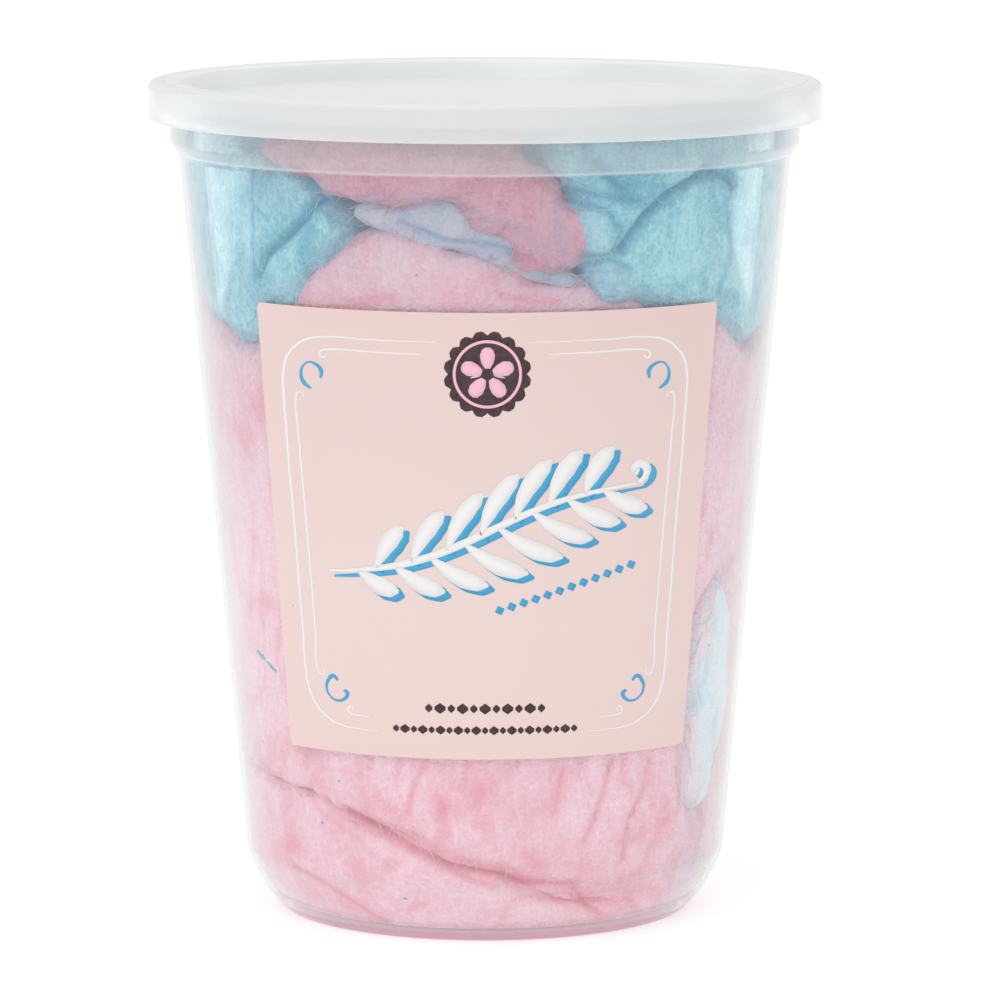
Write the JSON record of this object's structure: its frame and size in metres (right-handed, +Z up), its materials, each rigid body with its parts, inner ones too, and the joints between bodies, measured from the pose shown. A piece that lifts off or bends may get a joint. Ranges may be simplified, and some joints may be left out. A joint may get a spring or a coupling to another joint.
{
  "type": "tub of cotton candy",
  "caption": "Round clear plastic tub with a milky press-fit lid and a pale wrap label without lettering, packed with pink and pale blue cotton candy.",
  "frame": {"origin": "centre of the tub's base, on the surface it stands on", "axes": "+Z up along the tub's axis; the label faces -Y"},
  "size_m": [0.118, 0.118, 0.1464],
  "materials": {
    "tub": "clear polypropylene, glossy, slightly hazy",
    "lid": "milky translucent, soft gloss",
    "label": "satin paper label, pale peach pink",
    "pink_floss": "matte, soft spun sugar fibres",
    "blue_floss": "matte, soft spun sugar fibres"
  },
  "bodies": {
    "root": {"tub": "tub", "lid": "lid", "label": "label", "pink_floss_crown": "pink_floss", "pink_floss_body": "pink_floss", "pink_floss_base": "pink_floss", "pink_floss_back": "pink_floss", "blue_floss_left": "blue_floss", "blue_floss_middle": "blue_floss", "blue_floss_right": "blue_floss", "blue_floss_back": "blue_floss", "blue_floss_low": "blue_floss"}
  },
  "joints": []
}
